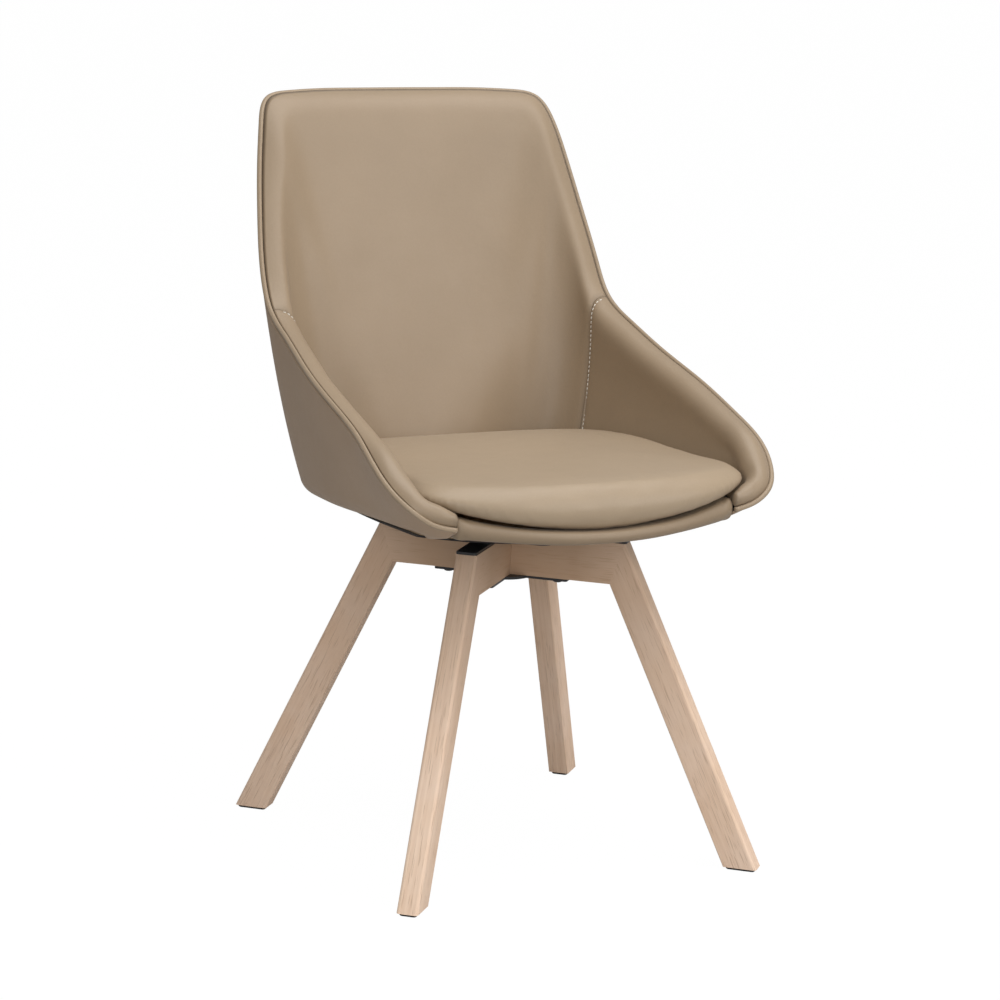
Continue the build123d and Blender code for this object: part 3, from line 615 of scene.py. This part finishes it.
def swollen(piece):
    # Pressed out like an air cushion by the cloth solver. Each point moves no further than mostMove,
    # by the hyperbolic tangent, and keeps only the share "inward" of a move into the form.
    c = cushion
    onlyThis(piece)
    remesh = piece.modifiers.new("remesh", "REMESH")
    remesh.mode, remesh.voxel_size = "VOXEL", c["voxel"]
    bpy.ops.object.modifier_apply(modifier="remesh")
    before = vertexRows(piece, "co")
    cloth = piece.modifiers.new("cloth", "CLOTH")
    cloth.point_cache.frame_end = c["frames"]
    solver = cloth.settings
    solver.use_pressure = True
    solver.uniform_pressure_force = c["pressure"]
    solver.effector_weights.gravity = 0
    solver.mass = c["mass"]
    solver.tension_stiffness = solver.compression_stiffness = c["stretch"]
    solver.bending_stiffness = c["stiffness"]
    for step in range(1, c["frames"] + 1):
        bpy.context.scene.frame_set(step)
    bpy.ops.object.modifier_apply(modifier="cloth")
    move = vertexRows(piece, "co") - before
    normal = vertexRows(piece, "normal")
    sunk = np.minimum((move * normal).sum(1, keepdims=True), 0)
    move -= normal * sunk * (1 - c["inward"])
    far = np.linalg.norm(move, axis=1, keepdims=True)
    move *= np.tanh(far / c["mostMove"]) * c["mostMove"] / np.maximum(far, 1e-9)
    piece.data.vertices.foreach_set("co", (before + move).ravel())
    piece.data.update()
    bpy.context.scene.frame_set(1)
    print("cushion swollen by", round(float(far.max()) * 1000, 1), "mm before the limit")


def makeCushion():
    # Cushion form, set in along its normals, swollen, smoothed and divided once.
    skin = cushionForm()
    piece = tubeGrid("seatCushion", skin - outwardNormals(skin) * cushion["startInside"])
    swollen(piece)
    piece.data.shade_smooth()
    smooth = piece.modifiers.new("even", "SMOOTH")
    smooth.factor, smooth.iterations = 0.5, cushion["smoothings"]
    onlyThis(piece)
    bpy.ops.object.modifier_apply(modifier="even")
    finer = piece.modifiers.new("finer", "SUBSURF")
    finer.levels = finer.render_levels = 1
    return piece


stitch = {
    "length": 3.8, "gap": 1.6, "radius": 0.6, "fromSeam": 5.5, "sink": 0.15,
    "start": 2.0, "skip": 3,  # first stitch, past the points under the piping
    "along": (0, 0.06, 0.2, 0.5, 0.8, 0.94, 1.0),  # rings: share of length and radius, and
    "size": (0.15, 0.7, 1, 1.05, 1, 0.7, 0.15),  # how deep the ends dive in
    "dive": (1.5, 0.6, 0.1, 0, 0.1, 0.6, 1.5), "diveDepth": 0.35,
    "sides": 6,
}


def makeStitches(name, seam, toArm, places, skin, normal):
    # Row of short threads on the arm side of the seam, each a capsule laid along the row.
    s = stitch
    wanted = seamLine(seam)[facePart] + toArm * s["fromSeam"]
    row = np.clip((places < wanted).sum(0) - 1, 0, len(places) - 2)
    column = np.arange(len(wanted))
    part = ((wanted - places[row, column]) / (places[row + 1, column] - places[row, column]))[:, None]
    line, outward = (values[row, column] * (1 - part) + values[row + 1, column] * part
                     for values in (skin, normal))
    line, outward = line[s["skip"]:], outward[s["skip"]:]
    reach = join([[0], np.cumsum(np.linalg.norm(np.diff(line, axis=0), axis=1))])
    length = s["length"]
    starts = np.arange(s["start"], reach[-1] - length, length + s["gap"])
    spots = starts[:, None] + np.array(s["along"])[None] * length
    centre, lift = (np.stack([np.interp(spots, reach, values[:, k]) for k in range(3)], 2)
                    for values in (line, outward))
    lift = unit(lift)
    side = np.cross(unit(np.gradient(centre, axis=1)), lift)
    sink = s["sink"] + np.array(s["dive"]) * s["diveDepth"]
    centre = centre + lift * (s["radius"] - sink)[None, :, None]
    size = s["radius"] * np.array(s["size"])[None, :, None, None]
    angle = np.linspace(0, 2 * np.pi, s["sides"], endpoint=False)[None, None, :, None]
    rings = centre[:, :, None] + size * (np.cos(angle) * lift[:, :, None] + np.sin(angle) * side[:, :, None])
    count, steps, sides = rings.shape[:3]
    index = np.arange(steps * sides).reshape(steps, sides)
    turned = np.roll(index, -1, 1)
    quads = np.stack([index[:-1], index[1:], turned[1:], turned[:-1]], 2).reshape(-1, 4)
    caps = np.stack([index[0], index[-1][::-1]])
    base = (np.arange(count) * steps * sides)[:, None, None]
    faces = (quads[None] + base).reshape(-1, 4).tolist() + (caps[None] + base).reshape(-1, sides).tolist()
    return meshPiece(name, rings.reshape(-1, 3), faces)


class Signal:
    # One output of a node. Arithmetic on it adds Math nodes to the same tree.
    def __init__(self, paint, socket):
        self.paint, self.socket = paint, socket

    def math(self, operation, other):
        return self.paint.add("ShaderNodeMath", {"operation": operation}, {0: self, 1: other})

    def __add__(self, other):
        return self.math("ADD", other)

    def __sub__(self, other):
        return self.math("SUBTRACT", other)

    def __mul__(self, other):
        return self.math("MULTIPLY", other)

    __radd__ = __add__
    __rmul__ = __mul__


class Paint:
    # A material or world under construction: its nodes, and the output they end in.
    def __init__(self, owner):
        self.owner = owner
        owner.use_nodes = True
        self.tree = owner.node_tree
        self.tree.nodes.clear()

    def add(self, kind, settings=None, inputs=None, out=0):
        node = self.tree.nodes.new(kind)
        for key, value in (settings or {}).items():
            setattr(node, key, value)
        for key, value in (inputs or {}).items():
            if isinstance(value, Signal):
                self.tree.links.new(value.socket, node.inputs[key])
            else:
                node.inputs[key].default_value = value
        return Signal(self, node.outputs[out])

    def end(self, signal, kind="ShaderNodeOutputMaterial"):
        self.tree.links.new(signal.socket, self.tree.nodes.new(kind).inputs[0])
        return self.owner

    def noise(self, where, scale, detail=2.0, rough=0.5):
        return self.add("ShaderNodeTexNoise", {}, {"Vector": where, "Scale": scale, "Detail": detail,
                                                   "Roughness": rough})

    def vector(self, operation, first, second, out=0):
        return self.add("ShaderNodeVectorMath", {"operation": operation}, {0: first, 1: second}, out)

    def stretched(self, where, factors, turn=(0, 0, 0)):
        turned = self.add("ShaderNodeMapping", {}, {"Vector": where, "Rotation": turn})
        return self.vector("MULTIPLY", turned, factors)

    def blend(self, share, first, second):
        tones = (tone if isinstance(tone, Signal) else (*tone, 1) for tone in (first, second))
        return self.add("ShaderNodeMix", {"data_type": "RGBA"}, dict(zip((0, 6, 7), (share, *tones))), 2)

    def span(self, value, low, high, newLow=0.0, newHigh=1.0):
        return self.add("ShaderNodeMapRange", {}, {0: value, 1: low, 2: high, 3: newLow, 4: newHigh})

    def bump(self, height, distance, strength, **under):
        inputs = {"Height": height, "Distance": distance, "Strength": strength, **under}
        return self.add("ShaderNodeBump", {}, inputs)

    def finish(self, fixed, colour, rough, normal):
        inputs = {**fixed, "Base Color": colour, "Roughness": rough, "Normal": normal}
        return self.end(self.add("ShaderNodeBsdfPrincipled", {}, inputs))


def newPaint(name):
    # An empty material and the place on the object that its patterns start from.
    paint = Paint(bpy.data.materials.new(name))
    return paint, paint.add("ShaderNodeTexCoord", out="Object")


def shade(tone, factor, lift=0):
    # Each part of a colour times a factor, plus a lift.
    return tuple(factor * value + lift for value in tone)


# One leather on every piece. Each tone is set to how bright that piece looks under this light, so these are
# lit and shaded copies: the band's darker tone is painted shade, and the cushion's and the side's lighter
# tones are painted light.
leatherLook = {
    "seat": {"tone": (0.318, 0.235, 0.154), "rough": 0.45},
    # painted light: the cushion's tone is lighter than the seat's
    "cushion": {"tone": (0.368, 0.278, 0.186), "rough": 0.45},
    # painted shade: the band's tone is darker than the seat's
    "band": {"tone": (0.268, 0.195, 0.124), "rough": 0.5},
    # painted light: the side's tone is lighter than the seat's
    "side": {"tone": (0.40, 0.282, 0.184), "rough": 0.58},
    "piping": {"tone": (0.345, 0.258, 0.172), "rough": 0.45},
}


def leather(name, look, seamMark=False):
    # Smooth taupe leather: slow mottling, pebbled grain about a millimetre wide, faint creases.
    paint, where = newPaint(name)
    tone = look["tone"]
    mottle = paint.span(paint.noise(where, 7, 3), 0.3, 0.7)
    speck = paint.noise(where, 420)
    lighter = tuple(value * factor for value, factor in zip(tone, (1.03, 1.025, 1.02)))
    colour = paint.blend(mottle, shade(tone, 0.965), lighter)
    colour = paint.blend(paint.span(speck, 0.35, 0.65, 0, 0.06), colour, shade(tone, 0.55))
    pebble = paint.add("ShaderNodeTexVoronoi", {"feature": "DISTANCE_TO_EDGE"},
                       {"Vector": where, "Scale": 760})
    height = paint.span(pebble, 0.0, 0.18) * 0.35 + paint.noise(where, 900) * 0.3
    crease = paint.bump(paint.noise(where, 34, 4, 0.55), 0.0011, 0.35)
    normal = paint.bump(height, 0.00012, 0.55, Normal=crease)
    rough = look["rough"] + 0.1 * (paint.noise(where, 60, 3) - 0.5) - 0.05 * mottle
    if seamMark:
        seam = paint.add("ShaderNodeAttribute", {"attribute_name": "seam"}, out="Fac")
        colour = paint.blend(seam * 0.28, colour, shade(tone, 0.45))
    fixed = {"Specular IOR Level": 0.42, "Sheen Weight": 0.06, "Sheen Roughness": 0.4,
             "Coat Weight": 0.04, "Coat Roughness": 0.35}
    return paint.finish(fixed, colour, rough, normal)


woodLook = {
    "frame": {"pale": (0.94, 0.722, 0.55), "deep": (0.69, 0.465, 0.32), "pore": (0.47, 0.315, 0.21),
              "wash": (0.92, 0.762, 0.65), "rough": 0.62,
              "inner": (0.46, 0.295, 0.18)},  # painted shade of the seat: browner towards the middle of the frame
    "dowel": {"pale": (0.72, 0.56, 0.38), "deep": (0.6, 0.44, 0.28), "pore": (0.4, 0.28, 0.17),
              "wash": (0.72, 0.56, 0.4), "rough": 0.6},
    "board": {"pale": (0.66, 0.5, 0.33), "deep": (0.5, 0.35, 0.2), "pore": (0.3, 0.2, 0.12),
              "wash": (0.66, 0.5, 0.34), "rough": 0.7},
}


def wood(name, direction, side, seed, look):
    # Whitewashed beech: the grain runs along one direction, as slow bands, fine fibres and short pores; the
    # frame also gets painted shade towards its middle.
    along = Vector(direction).normalized()
    second = Vector(side).normalized()
    turn = Matrix((along, second, along.cross(second).normalized())).to_euler()
    paint, where = newPaint(name)
    moved = paint.vector("ADD", where, (seed * 0.37, seed * 0.11, seed * 0.23))
    slow = paint.stretched(moved, (2.2, 26, 26), turn)
    fine = paint.stretched(moved, (7, 420, 420), turn)
    pores = paint.stretched(moved, (38, 900, 900), turn)
    wander = paint.noise(slow, 1.0, 3, 0.55)
    rings = paint.add("ShaderNodeTexWave", {"bands_direction": "Y"},
                      {"Vector": paint.stretched(moved, (1.3, 30, 30), turn), "Scale": 1.3,
                       "Distortion": 5.5, "Detail": 2.5, "Detail Scale": 1.2})
    fibre = paint.noise(fine, 1.0, 3, 0.6)
    pore = paint.span(paint.noise(pores, 1.0, 1, 0.4), 0.60, 0.70)
    share = (paint.span(wander, 0.25, 0.75) * 0.5 + paint.span(rings, 0, 1) * 0.22
             + paint.span(fibre, 0.3, 0.7) * 0.28)
    colour = paint.blend(share, look["deep"], look["pale"])
    wash = paint.noise(moved, 18, 3, 0.6)
    colour = paint.blend(paint.span(wash, 0.35, 0.75, 0, 0.3), colour, look["wash"])
    colour = paint.blend(pore * 0.5, colour, look["pore"])
    # Painted shade: the wood turns browner near the chair's upright axis, where the seat shades the rails and
    # the tops of the legs.
    if "inner" in look:
        middle = paint.vector("LENGTH", paint.vector("MULTIPLY", where, (1, 1, 0)), (0, 0, 0), "Value")
        colour = paint.blend(paint.span(middle, 0.09, 0.24, 0.85, 0), colour, look["inner"])
    rough = look["rough"] + 0.14 * (fibre - 0.5) + 0.08 * pore
    normal = paint.bump(fibre - 0.8 * pore, 0.00016, 0.6)
    return paint.finish({"Specular IOR Level": 0.25}, colour, rough, normal)


def powderCoat(name, tone, rough):
    # Sprayed steel: fine orange peel and a few lighter rubs.
    paint, where = newPaint(name)
    peel = paint.noise(where, 900)
    rub = paint.span(paint.noise(where, 40, 5, 0.65), 0.62, 0.8)
    colour = paint.blend(rub * 0.4, tone, shade(tone, 3, 0.01))
    rough = rough + 0.12 * (peel - 0.5) - 0.08 * rub
    return paint.finish({"Specular IOR Level": 0.5}, colour, rough, paint.bump(peel, 0.00006, 0.6))


def plating(name, tone, rough):
    # Plated steel: cloudy patches and fine rolling marks.
    paint, where = newPaint(name)
    cloud = paint.noise(where, 60, 4, 0.6)
    marks = paint.noise(paint.stretched(where, (30, 900, 900)), 1)
    colour = paint.blend(cloud, shade(tone, 0.82), tone)
    rough = rough + 0.2 * (cloud - 0.5) + 0.1 * (marks - 0.5)
    return paint.finish({"Metallic": 1.0}, colour, rough, paint.bump(marks, 0.00003, 0.5))


def moulding(name, tone, rough):
    # Moulded plastic with a fine spark-eroded texture.
    paint, where = newPaint(name)
    texture = paint.noise(where, 500, 3, 0.6)
    colour = paint.blend(paint.noise(where, 25), shade(tone, 0.88), tone)
    rough = rough + 0.12 * (texture - 0.5)
    return paint.finish({"Specular IOR Level": 0.45}, colour, rough, paint.bump(texture, 0.0001, 0.5))


def nonwoven(name, tone):
    # Pressed fibres: fine threads in every direction over a dotted bonding pattern.
    paint, where = newPaint(name)
    fibres = paint.noise(where, 700, 6, 0.75)
    dots = paint.add("ShaderNodeTexVoronoi", {}, {"Vector": where, "Scale": 420, "Randomness": 0.15})
    height = fibres * 0.6 + paint.span(dots, 0.15, 0.35) * 0.5
    colour = paint.blend(fibres, tone, shade(tone, 2.6, 0.006))
    return paint.finish({"Specular IOR Level": 0.15, "Sheen Weight": 0.2}, colour,
                        0.85 + 0.1 * (fibres - 0.5), paint.bump(height, 0.0002, 0.7))


def thread(name, tone):
    # Twisted sewing thread.
    paint, where = newPaint(name)
    twist = paint.noise(where, 1400)
    colour = paint.blend(twist, shade(tone, 0.8), tone)
    return paint.finish({"Specular IOR Level": 0.3}, colour, 0.6 + 0.1 * (twist - 0.5),
                        paint.bump(twist, 0.0001, 0.6))


def dress(piece, material):
    # A made piece gets its one material.
    piece.data.materials.clear()
    piece.data.materials.append(material)


def coat(names, material):
    # Carried parts keep their slots and get the material in each.
    for name in names:
        for entry in nodes[name].material_slots:
            entry.material = material


leathers = {key: leather(key + "Leather", look, key in ("seat", "band")) for key, look in leatherLook.items()}

coverPiece = makeCover()
dress(coverPiece, leathers["side"])
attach(coverPiece, "seat")
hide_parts("outer_cover")
print("cover made")

pads = {}
for name, node, start, end, seed in (("armPadRight", "arm_pad_right", 0, seamPlaces[0], 3),
                                     ("backPad", "back_pad", *seamPlaces, 5),
                                     ("armPadLeft", "arm_pad_left", seamPlaces[1], rimLength, 7)):
    piece, *pads[name] = makePad(name, start, end, seed)
    dress(piece, leathers["seat"])
    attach(piece, "seat")
    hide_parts(node)
print("padding made")

pipingPiece = makePiping()
dress(pipingPiece, leathers["piping"])
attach(pipingPiece, "seat")
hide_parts("rim_piping")

bandPiece = makeBand()
dress(bandPiece, leathers["band"])
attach(bandPiece, "seat")
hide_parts("front_band")

cushionPiece = makeCushion()
dress(cushionPiece, leathers["cushion"])
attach(cushionPiece, "seat")
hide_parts("seat_cushion")
print("cushion, band and piping made")

threadFinish = thread("stitchThread", (0.85, 0.80, 0.71))
for name, seam, toArm, pad in (("stitchesRight", seamPlaces[0], -1, "armPadRight"),
                               ("stitchesLeft", seamPlaces[1], 1, "armPadLeft")):
    piece = makeStitches(name, seam, toArm, *pads[pad])
    dress(piece, threadFinish)
    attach(piece, "seat")
print("stitches made")


# Finishes of the parts that are shown as they come from the frame.
legs = {"front_left": (1, -1), "front_right": (-1, -1), "back_left": (1, 1), "back_right": (-1, 1)}
legLean = 25.2  # degrees from upright
frameWood = woodLook["frame"]
for seed, (name, (x, y)) in enumerate(legs.items()):
    axis = Vector((x, y, 0)).normalized() * math.tan(math.radians(legLean)) - Vector((0, 0, 1))
    coat([f"leg_{name}"], wood(f"wood_{name}", axis, (-y, x, 0), seed + 1, frameWood))
coat(["rail_lower"], wood("wood_railLower", (1, -1, 0), (1, 1, 0), 8, frameWood))
coat(["rail_upper"], wood("wood_railUpper", (1, 1, 0), (1, -1, 0), 11, frameWood))
coat(["mitre_dowels"], wood("wood_dowels", (0, 0, 1), (1, 0, 0), 5, woodLook["dowel"]))
coat(["seat_board"], wood("wood_board", (0, 1, 0), (1, 0, 0), 17, woodLook["board"]))
coat([f"glide_{name}" for name in legs], moulding("footPad", (0.02, 0.02, 0.021), 0.55))
coat(["bottom_cross_plate", "top_cross_plate", "swivel_lower_plate", "swivel_upper_plate"],
     powderCoat("blackSteel", (0.018, 0.018, 0.019), 0.42))
coat(["frame_bolts", "seat_bolts"], powderCoat("blackBolt", (0.03, 0.03, 0.03), 0.35))
coat(["glide_nails", "frame_nuts", "swivel_pivot", "tee_nuts"], plating("zincSteel", (0.62, 0.62, 0.6), 0.36))
coat(["bearing_balls"], plating("bearingSteel", (0.7, 0.7, 0.7), 0.16))
coat(["ball_cage"], moulding("cagePlastic", (0.72, 0.7, 0.64), 0.4))
coat(["tilt_spacer"], moulding("blackPlastic", (0.022, 0.022, 0.023), 0.5))
coat(["bucket_shell"], moulding("shellPlastic", (0.1, 0.1, 0.1), 0.55))
coat(["dust_cover"], nonwoven("dustCloth", (0.018, 0.018, 0.019)))
print("finishes given")


photo = {
    "place": (-1.8217, -3.3428, 1.1867), "azimuth": -28.49, "elevation": 11.6, "roll": 2.21,
    "lens": 121.14, "clip": (0.05, 200),
}


def makeCamera():
    # Right, up and backward axes from the two viewing angles, then turned by the roll.
    a, e, r = (math.radians(photo[key]) for key in ("azimuth", "elevation", "roll"))
    back = Vector((math.sin(a) * math.cos(e), -math.cos(a) * math.cos(e), math.sin(e)))
    right = Vector((math.cos(a), math.sin(a), 0))
    data = bpy.data.cameras.new("camera")
    data.lens = photo["lens"]
    data.clip_start, data.clip_end = photo["clip"]
    camera = added("camera", data)
    turn = Matrix((right, back.cross(right), back)).transposed().to_4x4() @ Matrix.Rotation(r, 4, "Z")
    camera.matrix_world = Matrix.Translation(photo["place"]) @ turn
    bpy.context.scene.camera = camera


studio = {
    "world": 0.36,
    "lamps": [  # name, place, aim, size across, power
        ("overhead", (0.3, -0.6, 2.8), (0, 0, 0.45), 2.6, 58),
        ("frontRight", (1.8, -2.9, 1.7), (0, 0, 0.35), 1.8, 36),
        ("frontLeft", (-1.7, -2.9, 1.0), (0, 0, 0.2), 1.6, 23),
    ],
    "floorTone": 0.5, "floorGlow": 1.03,
    "floorShare": 0.96,  # glow over shadow, to the camera
    "floorRadius": 60000, "floorSides": 96, "floorDrop": 0.4,
}


def makeLights():
    # Large soft lamps, each a square aimed at the chair, and a dim sky that is white to the camera.
    for name, place, aim, size, power in studio["lamps"]:
        data = bpy.data.lights.new(name, "AREA")
        data.shape, data.size, data.energy = "SQUARE", size, power
        lamp = added(name, data)
        lamp.location = place
        lamp.rotation_euler = (Vector(aim) - Vector(place)).to_track_quat("-Z", "Y").to_euler()
    world = bpy.data.worlds.new("studio")
    bpy.context.scene.world = world
    sky = Paint(world)
    direct = sky.add("ShaderNodeLightPath", out="Is Camera Ray")
    dim, white = (sky.add("ShaderNodeBackground", {}, {"Color": (1, 1, 1, 1), "Strength": strength})
                  for strength in (studio["world"], 1.0))
    sky.end(sky.add("ShaderNodeMixShader", {}, {0: direct, 1: dim, 2: white}), "ShaderNodeOutputWorld")


def makeFloor():
    # Round pale floor that shows white to the camera and keeps a faint shadow.
    sides, tone = studio["floorSides"], studio["floorTone"]
    angle = np.linspace(0, 2 * np.pi, sides, endpoint=False)
    ring = studio["floorRadius"] * np.stack([np.cos(angle), np.sin(angle), 0 * angle], 1)
    floor = meshPiece("floor", ring - (0, 0, studio["floorDrop"]), [list(range(sides))])
    paint = Paint(bpy.data.materials.new("paleFloor"))
    diffuse = paint.add("ShaderNodeBsdfDiffuse", {}, {"Color": (tone, tone, tone, 1)})
    glow = paint.add("ShaderNodeEmission", {}, {"Color": (1, 1, 1, 1), "Strength": studio["floorGlow"]})
    share = paint.add("ShaderNodeLightPath", out="Is Camera Ray") * studio["floorShare"]
    dress(floor, paint.end(paint.add("ShaderNodeMixShader", {}, {0: share, 1: diffuse, 2: glow})))


makeCamera()
makeLights()
makeFloor()
bpy.context.scene.view_settings.view_transform = "Standard"
print("camera, light and floor set")
